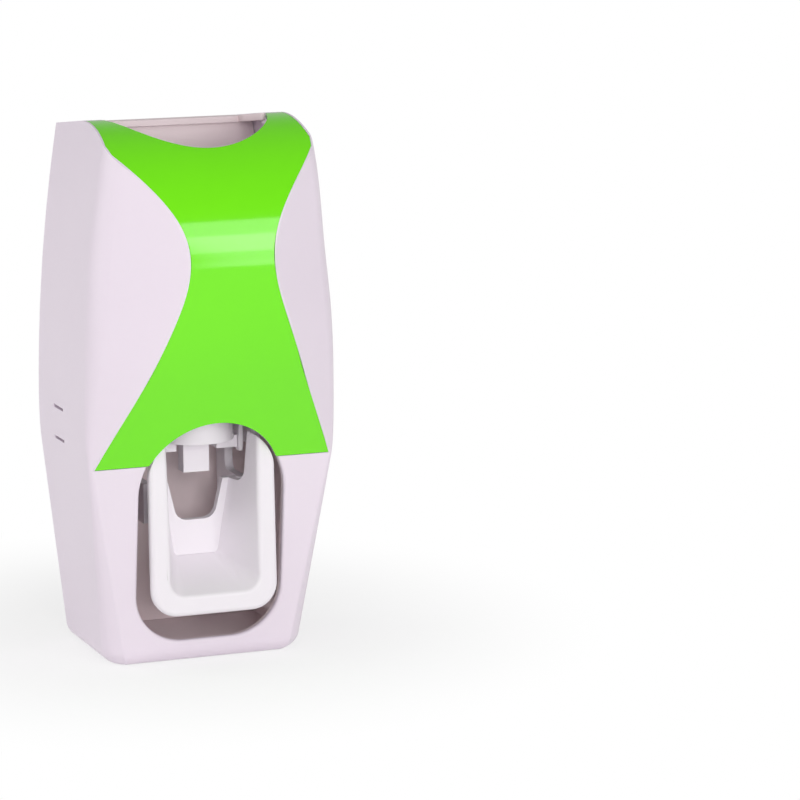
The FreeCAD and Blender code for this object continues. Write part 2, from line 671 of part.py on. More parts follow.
def make_pump_body():
    barrel_radius = "Sizes.bore_radius + Sizes.barrel_wall"
    run = "Sizes.barrel_front - Sizes.barrel_rear"
    rear = "-Sizes.barrel_rear"
    boss_y = "-Sizes.boss_depth"
    outer = "Sizes.bracket_inner + Sizes.bracket_thick"
    bracket_run = "Sizes.bracket_front - Sizes.plate_thick"
    bracket_rise = "Sizes.pump_z - Sizes.bracket_base_z"
    web_run = "Sizes.bracket_front - Sizes.web_rear"
    web_base = "Sizes.pump_z - Sizes.web_thick"
    ledge_run = "Sizes.ledge_outer - Sizes.ledge_inner"
    ledge_rise = "Sizes.boss_base_z - Sizes.ledge_base_z + Sizes.ledge_joint"
    ledge_y = "-Sizes.boss_depth - Sizes.ledge_deep / 2"
    rib_rise = "Sizes.pump_z - Sizes.rib_base_z - Sizes.web_thick / 2"
    front_y = "-Sizes.bracket_front"
    flange_y = "-Sizes.plate_thick - Sizes.flange_thick"
    solids = [
        rod("barrel", barrel_radius, run, "0", rear, "Sizes.pump_z", TO_FRONT),
        rod("boss", "Sizes.boss_radius", "Sizes.pump_z + Sizes.web_thick - Sizes.boss_base_z", "0",
            boss_y, "Sizes.boss_base_z"),
        rod("neck", "Sizes.neck_radius", "Sizes.neck_top_z - Sizes.pump_z - Sizes.web_thick / 2", "0",
            boss_y, "Sizes.pump_z + Sizes.web_thick / 2"),
        block("web", "2 * (%s)" % outer, web_run, "Sizes.web_thick", "-(%s)" % outer, front_y,
              web_base),
    ]
    bore = "Sizes.screw_radius + Sizes.fit_gap"
    pin_bore = "Sizes.pin_radius + Sizes.pin_fit"
    pocket = "Sizes.tube_neck_radius + Sizes.sleeve_wall + Sizes.fit_gap"
    tools = [
        rod("bore", "Sizes.bore_radius", run, "0", rear, "Sizes.pump_z", TO_FRONT),
        rod("spring_space", barrel_radius, "Sizes.barrel_rear", "0", "0", "Sizes.pump_z", TO_FRONT),
        rod("ports", "Sizes.port_radius", "Sizes.neck_top_z - Sizes.boss_base_z", "0", boss_y,
            "Sizes.boss_base_z"),
        rod("sleeve_pocket", pocket, "Sizes.neck_top_z - Sizes.seat_z", "0", boss_y, "Sizes.seat_z"),
        rod("spout_pocket", "Sizes.spout_disc + Sizes.fit_gap",
            "Sizes.spout_disc_thick + Sizes.outlet_height", "0", boss_y, "Sizes.boss_base_z"),
        rod("pin_bore", pin_bore, "4 * Sizes.bracket_inner", "-2 * Sizes.bracket_inner",
            "-Sizes.pivot_depth", "Sizes.pivot_z", TO_RIGHT),
    ]
    screw_z = "(Sizes.bracket_base_z + Sizes.pump_z) / 2"
    for name, sign, corner in (("right", "", "0"), ("left", "-", "1")):
        near = "%s(Sizes.bracket_inner + %s * Sizes.bracket_thick)" % (sign, corner)
        solids.append(block(name + "_bracket", "Sizes.bracket_thick", bracket_run, bracket_rise,
                            near, front_y, "Sizes.bracket_base_z"))
        near = "%s(Sizes.bracket_inner + %s * Sizes.flange_width)" % (sign, corner)
        solids.append(block(name + "_flange", "Sizes.flange_width", "Sizes.flange_thick",
                            bracket_rise, near, flange_y, "Sizes.bracket_base_z"))
        near = "%s(Sizes.ledge_inner + %s * (%s))" % (sign, corner, ledge_run)
        solids.append(block(name + "_ledge", ledge_run, "Sizes.ledge_deep", ledge_rise, near,
                            ledge_y, "Sizes.ledge_base_z"))
        near = "%s(Sizes.rib_inner + %s * Sizes.rib_thick)" % (sign, corner)
        solids.append(block(name + "_rib", "Sizes.rib_thick", "Sizes.rib_run", rib_rise, near,
                            front_y, "Sizes.rib_base_z"))
        tools.append(rod(name + "_hole", bore, "2 * Sizes.flange_thick", sign + "Sizes.pump_screw_x",
                         "-Sizes.plate_thick", screw_z, TO_FRONT))
    joined("pump_body", solids, tools)


def make_pump_seals():
    boss_y = "-Sizes.boss_depth"
    sleeve_outer = "Sizes.tube_neck_radius + Sizes.sleeve_wall"
    deck_top = "Sizes.neck_top_z + Sizes.deck_thick - Sizes.sleeve_base_z"
    sleeve_top = "%s + Sizes.sleeve_flange_thick" % deck_top
    turned("inlet_sleeve", [
        ("Sizes.tube_neck_radius", "0"), (sleeve_outer, "0"), (sleeve_outer, deck_top),
        ("Sizes.sleeve_flange", deck_top), ("Sizes.sleeve_flange", sleeve_top),
        ("Sizes.tube_neck_radius", sleeve_top),
    ], y=boss_y, z="Sizes.sleeve_base_z")

    ring_height = "Sizes.sleeve_base_z - Sizes.seat_z - Sizes.valve_thick"
    turned("valve_ring", [
        ("%s - Sizes.ring_wall" % sleeve_outer, "0"), (sleeve_outer, "0"),
        (sleeve_outer, ring_height), ("%s - Sizes.ring_wall" % sleeve_outer, ring_height),
    ], y=boss_y, z="Sizes.seat_z + Sizes.valve_thick")

    flap = new_body("inlet_valve")
    disc = circle(flap, "XY_Plane", "flap_disc", "0", "0", sleeve_outer)
    extrude(flap, "Pad", disc, "Sizes.valve_thick", "flap_pad")
    slit = polygon(flap, "XY_Plane", "flap_slit", [
        ("-Sizes.port_radius - 2 * Sizes.flap_slit", "-Sizes.flap_slit / 2"),
        ("Sizes.port_radius + 2 * Sizes.flap_slit", "-Sizes.flap_slit / 2"),
        ("Sizes.port_radius + 2 * Sizes.flap_slit", "Sizes.flap_slit / 2"),
        ("-Sizes.port_radius - 2 * Sizes.flap_slit", "Sizes.flap_slit / 2"),
    ])
    extrude(flap, "Pocket", slit, "Sizes.valve_thick", "flap_cut", reverse=True)
    place(flap, y=boss_y, z="Sizes.seat_z")

    turned("outlet_valve", [
        ("Sizes.spout_bore", "0"), ("Sizes.outlet_radius", "0"),
        ("Sizes.outlet_radius", "Sizes.outlet_height"),
        ("Sizes.port_radius", "Sizes.outlet_height"),
    ], y=boss_y, z="Sizes.boss_base_z + Sizes.spout_disc_thick")

    plug = "Sizes.bore_radius - Sizes.fit_gap"
    barrel = "Sizes.bore_radius + Sizes.barrel_wall"
    turned("cylinder_cap", [
        ("0", "0"), (barrel, "0"), (barrel, "Sizes.cap_flange"), (plug, "Sizes.cap_flange"),
        (plug, "Sizes.cap_flange + Sizes.seal_wire"),
        ("%s - Sizes.seal_wire" % plug, "Sizes.cap_flange + Sizes.seal_wire"),
        ("%s - Sizes.seal_wire" % plug, "Sizes.cap_flange + 2 * Sizes.seal_wire"),
        (plug, "Sizes.cap_flange + 2 * Sizes.seal_wire"),
        (plug, "Sizes.cap_flange + Sizes.cap_plug"), ("0", "Sizes.cap_flange + Sizes.cap_plug"),
    ], y="-Sizes.barrel_front - Sizes.cap_flange", z="Sizes.pump_z", rotation=TO_REAR)
    turned("cap_gasket", [
        ("%s - Sizes.seal_wire" % plug, "0"), (plug, "0"), (plug, "Sizes.seal_wire"),
        ("%s - Sizes.seal_wire" % plug, "Sizes.seal_wire"),
    ], y="-Sizes.barrel_front + Sizes.seal_wire", z="Sizes.pump_z", rotation=TO_REAR)


def make_nozzle():
    """Square spout under a round disc that clips into the boss."""
    body = new_body("nozzle")
    spout = polygon(body, "XY_Plane", "spout_section", [
        ("-Sizes.spout_half", "-Sizes.spout_long / 2"), ("Sizes.spout_half", "-Sizes.spout_long / 2"),
        ("Sizes.spout_half", "Sizes.spout_long / 2"), ("-Sizes.spout_half", "Sizes.spout_long / 2"),
    ])
    drop = "Sizes.boss_base_z - Sizes.spout_base_z"
    extrude(body, "Pad", spout, drop, "spout", reverse=True)
    disc = circle(body, "XY_Plane", "spout_disc", "0", "0", "Sizes.spout_disc")
    extrude(body, "Pad", disc, "Sizes.spout_disc_thick", "spout_flange")
    bore = circle(body, "XY_Plane", "spout_bore", "0", "0", "Sizes.spout_bore")
    extrude(body, "Pocket", bore, "4 * (%s)" % drop, "spout_channel", symmetric=True)
    place(body, y="-Sizes.boss_depth", z="Sizes.boss_base_z")
    document.recompute()


def make_piston():
    radius = "Sizes.bore_radius - Sizes.piston_slide_gap"
    groove = "%s - Sizes.seal_wire" % radius
    low = "Sizes.piston_head / 2 - Sizes.seal_wire / 2"
    high = "Sizes.piston_head / 2 + Sizes.seal_wire / 2"
    tip = "Sizes.piston_rest - Sizes.bar_front - Sizes.push_gap"
    shoulder = "%s - Sizes.dome_height" % tip
    seat = "%s - Sizes.spring_flange_thick" % shoulder
    turned("piston", [
        ("0", "0"), (radius, "0"), (radius, low), (groove, low), (groove, high), (radius, high),
        (radius, "Sizes.piston_head"), ("Sizes.piston_stem", "Sizes.piston_head"),
        ("Sizes.piston_stem", seat), ("Sizes.spring_flange", seat),
        ("Sizes.spring_flange", shoulder), ("Sizes.dome_radius", shoulder), ("0", tip),
    ], y="-Sizes.piston_rest", z="Sizes.pump_z", rotation=TO_REAR)
    turned("piston_seal", [
        (groove, "0"), (radius, "0"), (radius, "Sizes.seal_wire"), (groove, "Sizes.seal_wire"),
    ], y="-Sizes.piston_rest + %s" % low, z="Sizes.pump_z", rotation=TO_REAR)


def arc_through(start, control, end):
    """Arc that leaves start and reaches end along the lines to their shared control point."""
    to_start = (start - control).normalize()
    to_end = (end - control).normalize()
    half = to_start.getAngle(to_end) / 2
    radius = (start - control).Length * math.tan(half)
    inward = (to_start + to_end).normalize()
    middle = control + inward * (radius / math.sin(half) - radius)
    return Part.Arc(start, middle, end).toShape()


def biarc(start, start_way, end, end_way):
    """Two arcs that join smoothly and leave both ends along the given ways."""
    span = end - start
    ways = start_way + end_way
    spread = 2 * start_way.dot(end_way) - 2
    along = span.dot(ways)
    run = (along - math.sqrt(along ** 2 - spread * span.dot(span))) / spread
    first = start + start_way * run
    last = end - end_way * run
    joint = (first + last) / 2
    return [arc_through(start, first, joint), arc_through(joint, last, end)]


QUARTERS = 4


def make_return_spring():
    """Open coil round the piston's stem, between the barrel and the piston's flange."""
    flange = d.bar_front + d.push_gap + d.dome_height + d.spring_flange_thick
    first = d.barrel_rear - d.spring_gap - d.spring_wire
    last = flange + d.spring_gap + d.spring_wire
    steps = int(d.spring_turns * QUARTERS)
    rise = (first - last) / steps
    turn = 2 * math.pi / QUARTERS

    def station(index):
        angle = turn * index
        across = Vector(math.cos(angle), 0, math.sin(angle)) * d.spring_radius
        point = across + Vector(0, -first + rise * index, d.pump_z)
        way = Vector(-math.sin(angle), 0, math.cos(angle)) * d.spring_radius * turn
        return point, (way + Vector(0, rise, 0)).normalize()

    edges = []
    for index in range(steps):
        edges += biarc(*station(index), *station(index + 1))
    path = Part.Wire(edges)
    start, way = station(0)
    profile = Part.Wire(Part.Circle(start, way, d.spring_wire).toShape())
    shaped("return_spring", path.makePipeShell([profile], True, False))


def make_tube_deck():
    """Floor of the tube chamber, resting on the pump's neck inside the shell."""
    inset = d.wall + d.deck_gap
    level = d.neck_top_z
    sheet_face = Part.Face(section(level, inset, -d.plate_thick - d.deck_gap))
    deck = sheet_face.extrude(Vector(0, 0, d.deck_thick))
    deck = deck.common(bulge(d.panel_thick + d.backing + d.deck_gap))
    centre = Vector(0, -d.boss_depth, 0)
    hole = d.tube_neck_radius + d.sleeve_wall + d.fit_gap
    deck = deck.cut(cylinder(hole, centre, centre + Vector(0, 0, REACH)))
    shaped("tube_deck", deck)


def make_pin():
    outer = "Sizes.bracket_inner + Sizes.bracket_thick"
    half = "%s + Sizes.pin_end" % outer
    neck = "Sizes.pin_radius - Sizes.clip_gap"
    inner_groove = "%s + Sizes.clip_gap" % outer
    outer_groove = "%s + Sizes.clip_thick + Sizes.clip_gap" % inner_groove
    turned("trigger_pin", [
        ("0", "-(%s)" % half), ("Sizes.pin_radius", "-(%s)" % half),
        ("Sizes.pin_radius", "-(%s)" % outer_groove), (neck, "-(%s)" % outer_groove),
        (neck, "-(%s)" % inner_groove), ("Sizes.pin_radius", "-(%s)" % inner_groove),
        ("Sizes.pin_radius", inner_groove), (neck, inner_groove), (neck, outer_groove),
        ("Sizes.pin_radius", outer_groove), ("Sizes.pin_radius", half), ("0", half),
    ], y="-Sizes.pivot_depth", z="Sizes.pivot_z", rotation=TO_RIGHT)
    near = d.bracket_inner + d.bracket_thick + 1.5 * d.clip_gap
    centre = Vector(near, -d.pivot_depth, d.pivot_z)
    width = Vector(d.clip_thick, 0, 0)
    clip = cylinder(d.clip_radius, centre, centre + width)
    clip = clip.cut(cylinder(d.pin_radius - d.clip_gap + d.pin_fit, centre, centre + width))
    gap = Part.makeBox(d.clip_thick, 2 * d.clip_radius, d.pin_radius)
    gap.translate(centre + Vector(0, 0, -d.pin_radius / 2))
    shaped("pin_clips", Part.makeCompound(both_sides(clip.cut(gap))))


def scoop_wire(depth, margin):
    """U-shaped section of the scoop at a depth, margin outside its inner face. It flares upward
    at the rear and is upright at the rim."""
    share = (depth - d.scoop_rear) / (d.rim_low_depth - d.scoop_rear)
    front_half = d.rim_half - d.rim_width
    front_base = d.rim_base_z + d.rim_width + d.scoop_lip
    front_round = d.rim_round - d.rim_width + d.scoop_wall
    flare = (d.scoop_high_half - d.scoop_low_half) / (d.horn_z - d.scoop_rear_z)
    rear_top = d.scoop_low_half + flare * (d.rim_top_z - d.scoop_rear_z)
    low = d.scoop_low_half + (front_half - d.scoop_low_half) * share + margin
    high = rear_top + (front_half - rear_top) * share + margin
    base = d.scoop_rear_z + (front_base - d.scoop_rear_z) * share - margin
    radius = d.scoop_round + (front_round - d.scoop_round) * share + margin
    corners = [
        (Vector(low, -depth, base), radius), (Vector(high, -depth, d.rim_top_z), 0),
        (Vector(-high, -depth, d.rim_top_z), 0), (Vector(-low, -depth, base), radius),
    ]
    return outline_wire(corners)


def scoop_loft(margin):
    ahead = d.rim_low_depth + d.rim_thick
    return Part.makeLoft([scoop_wire(depth, margin) for depth in (ahead, d.scoop_rear)], True, True)


def leaning(z, back):
    """Point on the rim's leaning front face, moved back."""
    lean = (d.rim_low_depth - d.rim_high_depth) / (d.rim_high_z - d.rim_base_z)
    return Vector(-REACH, -d.rim_low_depth + lean * (z - d.rim_base_z) + back, z)


def leaning_slab(front, rear):
    """Space between two planes parallel to the rim's front face."""
    corners = [leaning(0, front), leaning(REACH, front), leaning(REACH, rear), leaning(0, rear)]
    return prism([(point, 0) for point in corners], Vector(2 * REACH, 0, 0))


def on_rim_front(edge):
    points = edge.discretize(SAMPLES)
    flush = all(abs(point.y - leaning(point.z, 0).y) < TOUCH for point in points)
    return flush and edge.BoundBox.ZMin < d.rim_top_z - TOUCH


def rim_blank(top_round):
    """Front view of the rim, as a block."""
    half = d.rim_half
    return prism([
        (Vector(half, -REACH, d.rim_base_z), d.rim_round),
        (Vector(half, -REACH, d.rim_top_z), top_round),
        (Vector(-half, -REACH, d.rim_top_z), top_round),
        (Vector(-half, -REACH, d.rim_base_z), d.rim_round),
    ], Vector(0, REACH, 0))


def make_trigger():
    rear = -d.scoop_rear
    # Rounded frame round the mouth of the scoop
    rim = rim_blank(0).common(leaning_slab(0, d.rim_thick))
    # Trough from the frame back to the notched plate, its sides cut away above the plate
    trough = scoop_loft(d.scoop_wall).common(leaning_slab(d.rim_thick / 2, REACH))
    above = prism([
        (Vector(-REACH, -d.side_rear, REACH), 0), (Vector(-REACH, -d.side_rear, d.horn_z), d.side_round),
        (Vector(-REACH, REACH, d.horn_z), 0), (Vector(-REACH, REACH, REACH), 0),
    ], Vector(2 * REACH, 0, 0))
    shell = rim.fuse(trough).cut([scoop_loft(0), above])
    shell = shell.makeFillet(d.rim_soft, [edge for edge in shell.Edges if on_rim_front(edge)])
    shell = shell.common(rim_blank(d.rim_top_round))
    # Notched plate across the rear of the trough, and the flange behind it that joins the arms
    low = d.scoop_low_half + d.scoop_wall / 2
    high = d.scoop_high_half + d.scoop_wall / 2
    foot_z = d.scoop_rear_z - d.scoop_wall / 2
    thickness = Vector(0, -d.notch_plate, 0)
    plate = prism([
        (Vector(low, rear, foot_z), 0), (Vector(high, rear, d.horn_z), 0),
        (Vector(-high, rear, d.horn_z), 0), (Vector(-low, rear, foot_z), 0),
    ], thickness)
    flange = prism([
        (Vector(d.flange_half, rear, d.notch_base_z), 0), (Vector(d.flange_half, rear, d.horn_z), 0),
        (Vector(-d.flange_half, rear, d.horn_z), 0), (Vector(-d.flange_half, rear, d.notch_base_z), 0),
    ], thickness)
    flare = d.notch_half + d.notch_flare
    notch = prism([
        (Vector(d.notch_half, REACH, d.notch_base_z), d.notch_round),
        (Vector(flare, REACH, d.horn_z + SLIVER), 0), (Vector(-flare, REACH, d.horn_z + SLIVER), 0),
        (Vector(-d.notch_half, REACH, d.notch_base_z), d.notch_round),
    ], Vector(0, -2 * REACH, 0))
    plate = plate.fuse(flange).cut(notch)
    # Arms up to the pin and the push bar
    pivot = Vector(d.arm_inner, -d.pivot_depth, d.pivot_z)
    width = Vector(d.arm_thick, 0, 0)
    bar_rear = -d.plate_thick - d.bar_gap
    bar_base = d.pump_z - d.bar_height / 2
    bar_top = d.pump_z + d.bar_height / 2
    foot = rear - d.notch_plate
    eye = d.eye_radius
    knee = pivot + Vector(0, -eye - SLIVER, d.horn_z - d.pivot_z)
    arm = prism([
        (Vector(d.arm_inner, foot, d.notch_base_z), 0), (Vector(d.arm_inner, foot, d.horn_z), 0),
        (knee, d.knee_round), (pivot + Vector(0, -eye, eye), eye),
        (Vector(d.arm_inner, -d.bar_front, bar_top), 0), (Vector(d.arm_inner, bar_rear, bar_top), 0),
        (Vector(d.arm_inner, bar_rear, bar_base), 0), (Vector(d.arm_inner, -d.bar_front, bar_base), eye),
        (pivot + Vector(0, eye, -eye / 2), eye),
        (pivot + Vector(0, d.knee_round, d.notch_base_z - d.pivot_z), 2 * d.knee_round),
    ], width)
    arm = arm.fuse(cylinder(eye, pivot, pivot + width))
    bar = Part.makeBox(2 * d.arm_inner, d.bar_front + bar_rear, d.bar_height)
    bar.translate(Vector(-d.arm_inner, -d.bar_front, bar_base))
    across = Vector(REACH, 0, 0)
    bore = cylinder(d.pin_radius + d.pin_run, pivot - across, pivot + across)
    shaped("trigger", shell.fuse([plate, bar] + both_sides(arm)).cut(bore))


make_front_shell()
make_front_panel()
make_back_plate()
make_screws()
make_adhesive_pad()
make_pump_body()
make_pump_seals()
make_nozzle()
make_piston()
make_return_spring()
make_tube_deck()
make_pin()
make_trigger()
document.recompute()

for item in document.Objects:
    if "Invalid" in item.State or "Error" in item.State:
        raise RuntimeError("%s did not compute" % item.Label)
for item in sub_parts:
    if item.Shape.isNull() or not item.Shape.isValid():
        raise RuntimeError("%s has no valid shape" % item.Label)

os.makedirs("parts", exist_ok=True)
for item in sub_parts:
    item.Shape.exportStep("parts/%s.step" % item.Label)
    print("%s: %d solid(s), %.1f mm3" % (item.Label, len(item.Shape.Solids), item.Shape.Volume))
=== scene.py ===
# %% [markdown]
# # Dressing a toothpaste dispenser
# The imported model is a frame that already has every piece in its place: a moulded housing, a
# glossy front panel, a white scoop that works the pump, and the pump itself. This lesson lights
# it, gives each piece the finish of the real one, and builds the pieces whose looks depend on
# a smooth surface or a soft edge. Everything is in metres, with +Z up and the front towards -Y.

# %% Load the frame
import math

import bmesh
import bpy
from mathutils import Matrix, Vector


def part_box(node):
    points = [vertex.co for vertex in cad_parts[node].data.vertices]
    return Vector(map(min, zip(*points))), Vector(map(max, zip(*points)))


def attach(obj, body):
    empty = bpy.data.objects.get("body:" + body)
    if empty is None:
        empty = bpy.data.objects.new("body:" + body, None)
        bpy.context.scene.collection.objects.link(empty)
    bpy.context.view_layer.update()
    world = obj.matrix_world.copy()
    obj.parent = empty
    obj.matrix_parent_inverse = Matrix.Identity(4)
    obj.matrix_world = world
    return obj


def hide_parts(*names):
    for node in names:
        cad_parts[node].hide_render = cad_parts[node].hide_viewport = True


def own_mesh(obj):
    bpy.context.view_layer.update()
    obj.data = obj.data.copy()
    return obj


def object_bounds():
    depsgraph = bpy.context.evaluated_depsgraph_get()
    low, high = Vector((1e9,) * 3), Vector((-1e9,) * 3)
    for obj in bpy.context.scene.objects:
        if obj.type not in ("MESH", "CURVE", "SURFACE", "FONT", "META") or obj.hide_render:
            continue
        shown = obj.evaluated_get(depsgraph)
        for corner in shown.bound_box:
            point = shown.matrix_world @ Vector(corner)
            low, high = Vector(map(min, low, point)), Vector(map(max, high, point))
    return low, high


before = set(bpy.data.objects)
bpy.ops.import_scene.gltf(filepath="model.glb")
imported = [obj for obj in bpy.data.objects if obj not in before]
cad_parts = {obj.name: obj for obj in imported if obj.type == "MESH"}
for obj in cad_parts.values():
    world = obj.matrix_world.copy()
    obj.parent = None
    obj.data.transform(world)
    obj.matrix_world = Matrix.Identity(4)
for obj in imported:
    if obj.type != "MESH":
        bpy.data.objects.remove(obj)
cad_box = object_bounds()
print("nodes:", len(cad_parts), "box:", [round(v, 4) for v in (*cad_box[0], *cad_box[1])])

# %% [markdown]
# ## The view
# A long lens far away keeps upright edges nearly parallel, as in a product picture. The dispenser
# stands left of the middle, so the camera looks past its right side. Colours go to the picture
# unchanged, through the Standard view.

# %% Camera
LENS_MM = 163.6
CAMERA_PLACE = (-0.3397, -1.0359, 0.2000)
CAMERA_YAW = math.radians(22.0)
CAMERA_PITCH = math.radians(10.945)

camera_data = bpy.data.cameras.new("camera")
camera_data.lens = LENS_MM
camera = bpy.data.objects.new("camera", camera_data)
camera.location = CAMERA_PLACE
camera.rotation_euler = (math.pi / 2 - CAMERA_PITCH, 0, -CAMERA_YAW)
bpy.context.scene.collection.objects.link(camera)
bpy.context.scene.camera = camera
bpy.context.scene.view_settings.view_transform = "Standard"
print("camera at", CAMERA_PLACE)

# %% [markdown]
# ## Writing shader maths as Python
# A finish is a small network of nodes. Wrapping a socket in a class with the usual operators
# lets a line such as `0.3 + grain * 0.1` add its own Math nodes, and one method makes any
# other node from its type, its settings and what goes into its sockets.


# %% Node helpers
class Wire:
    """An output socket that can be used in sums and products."""

    def __init__(self, board, socket):
        self.board = board
        self.socket = socket

    def math(self, operation, first, second):
        sockets = {"Value": first, "Value_001": second}
        return self.board.node("Math", {"operation": operation}, sockets)

    def __add__(self, other):
        return self.math("ADD", self, other)

    def __radd__(self, other):
        return self.math("ADD", other, self)

    def __sub__(self, other):
        return self.math("SUBTRACT", self, other)

    def __rsub__(self, other):
        return self.math("SUBTRACT", other, self)

    def __mul__(self, other):
        return self.math("MULTIPLY", self, other)

    def __rmul__(self, other):
        return self.math("MULTIPLY", other, self)

    def most(self, other):
        return self.math("MAXIMUM", self, other)

    def least(self, other):
        return self.math("MINIMUM", self, other)


class Board:
    """A node tree that nodes are added to."""

    def __init__(self, tree):
        self.tree = tree

    def find(self, sockets, name):
        for socket in sockets:
            if name in (socket.identifier, socket.name):
                return socket
        raise KeyError(name)

    def plug(self, socket, value):
        if isinstance(value, Wire):
            self.tree.links.new(value.socket, socket)
        else:
            socket.default_value = value

    def node(self, kind, settings=None, sockets=None, output=None):
        made = self.tree.nodes.new("ShaderNode" + kind)
        for key, value in (settings or {}).items():
            setattr(made, key, value)
        for key, value in (sockets or {}).items():
            self.plug(self.find(made.inputs, key), value)
        if not made.outputs:
            return None
        return Wire(self, self.find(made.outputs, output) if output else made.outputs[0])

    def blend(self, share, first, second):
        sockets = {"Factor_Float": share, "A_Color": first, "B_Color": second}
        return self.node("Mix", {"data_type": "RGBA"}, sockets, "Result_Color")

    def noise(self, place, scale, detail=2.0):
        return self.node("TexNoise", {}, {"Vector": place, "Scale": scale, "Detail": detail})

    def bump(self, height, strength, distance):
        sockets = {"Height": height, "Strength": strength, "Distance": distance}
        return self.node("Bump", {}, sockets)


def new_finish(name):
    """A material with its board, its Principled shader and the piece's own coordinates."""
    material = bpy.data.materials.new(name)
    material.use_nodes = True
    board = Board(material.node_tree)
    shader = material.node_tree.nodes["Principled BSDF"]
    place = board.node("TexCoord", output="Object")
    return material, board, shader, place


def set_surface(board, shader, values):
    for key, value in values.items():
        board.plug(shader.inputs[key], value)


print("node helpers ready")

# %% [markdown]
# ## Light, floor and background
# The light is soft and plain: a grey room with a darker ceiling, so that the top of the glossy
# panel mirrors less than its waist. A tall box to the front right is what the panel mirrors as a
# bright band, and a flat box before it makes the band's brighter core. A box near the camera
# reaches into the scoop's chamber, and two weak ones lift the top and the left side. The floor is
# pale, takes the shadow near the dispenser and fades to white further out.

# %% World and lamps
WALLS = (0.50, 0.495, 0.50, 1)
CEILING = (0.28, 0.28, 0.28, 1)
WALL_TOP, CEILING_START = 0.25, 0.75
world = bpy.data.worlds.new("studio")
bpy.context.scene.world = world
world.use_nodes = True
room = Board(world.node_tree)
direction = room.node("TexCoord", output="Generated")
height = room.node("SeparateXYZ", {}, {"Vector": direction}, "Z")
ramp = {"Value": height, "From Min": WALL_TOP, "From Max": CEILING_START}
upward = room.node("MapRange", {"interpolation_type": "SMOOTHSTEP"}, ramp)
room.plug(world.node_tree.nodes["Background"].inputs["Color"], room.blend(upward, WALLS, CEILING))
LAMP_TARGET = Vector((0, -0.035, 0.0))


def soft_box(name, azimuth, elevation, distance, width, height, radiance):
    """A rectangular lamp that faces the dispenser. Azimuth 0 is straight in front."""
    turn = math.radians(azimuth)
    lift = math.radians(elevation)
    ahead = math.cos(lift)
    away = Vector((math.sin(turn) * ahead, -math.cos(turn) * ahead, math.sin(lift)))
    data = bpy.data.lights.new(name, "AREA")
    data.shape = "RECTANGLE"
    data.size = width
    data.size_y = height
    data.energy = radiance * math.pi * width * height
    lamp = bpy.data.objects.new(name, data)
    lamp.location = LAMP_TARGET + away * distance
    lamp.rotation_euler = (-away).to_track_quat("-Z", "Y").to_euler()
    bpy.context.scene.collection.objects.link(lamp)
    print(name, [round(v, 2) for v in lamp.location])


BAND_TURN, FAR, NEAR = 24, 1.4, 1.35
soft_box("band_box", BAND_TURN, 14.5, FAR, width=0.3, height=0.92, radiance=3.2)
soft_box("band_strip", BAND_TURN, 15, NEAR, width=0.3, height=0.31, radiance=3.0)
soft_box("camera_box", -11, 12.5, FAR, width=0.4, height=0.4, radiance=10.0)
soft_box("high_box", -20, 48, FAR, width=0.8, height=0.8, radiance=1.2)
soft_box("left_box", -105, 18, FAR, width=1.0, height=1.2, radiance=1.45)

# %% Floor
FLOOR_Z = cad_box[0].z
FLOOR_RADIUS, FLOOR_SIDES = 12.0, 96
FLOOR_DEEP, FLOOR_PALE, FLOOR_SPECK = (0.93, 0.93, 0.93, 1), (0.97, 0.97, 0.97, 1), 40.0
SHADOW_NEAR, SHADOW_FAR, PALE_NEAR = 0.035, 0.14, 0.72


def seen_directly(board):
    """1 where a camera, mirror or glass ray arrives, 0 for light that lands on other things."""
    camera_ray = board.node("LightPath", output="Is Camera Ray")
    glossy_ray = board.node("LightPath", output="Is Glossy Ray")
    clear_ray = board.node("LightPath", output="Is Transmission Ray")
    return camera_ray.most(glossy_ray).most(clear_ray)


def make_floor():
    floor_mesh = bpy.data.meshes.new("floor")
    shape = bmesh.new()
    bmesh.ops.create_circle(shape, cap_ends=True, segments=FLOOR_SIDES, radius=FLOOR_RADIUS)
    shape.to_mesh(floor_mesh)
    shape.free()
    floor = bpy.data.objects.new("floor", floor_mesh)
    floor.location.z = FLOOR_Z
    bpy.context.scene.collection.objects.link(floor)
    material, board, shader, place = new_finish("floor_white")
    tone = board.blend(board.noise(place, FLOOR_SPECK), FLOOR_DEEP, FLOOR_PALE)
    set_surface(board, shader, {"Base Color": tone, "Roughness": 0.9})
    reach = board.node("VectorMath", {"operation": "LENGTH"}, {"Vector": place}, "Value")
    ramp = {"Value": reach, "From Min": SHADOW_NEAR, "From Max": SHADOW_FAR, "To Min": PALE_NEAR}
    far = board.node("MapRange", {"interpolation_type": "SMOOTHSTEP"}, ramp)
    glow = board.node("Emission", {}, {"Color": (1, 1, 1, 1), "Strength": 1.0})
    shade = Wire(board, shader.outputs["BSDF"])
    sockets = {"Fac": far * seen_directly(board), "Shader": shade, "Shader_001": glow}
    mixed = board.node("MixShader", {}, sockets)
    board.plug(material.node_tree.nodes["Material Output"].inputs["Surface"], mixed)
    floor_mesh.materials.append(material)
    print("floor at", round(FLOOR_Z, 4))


make_floor()
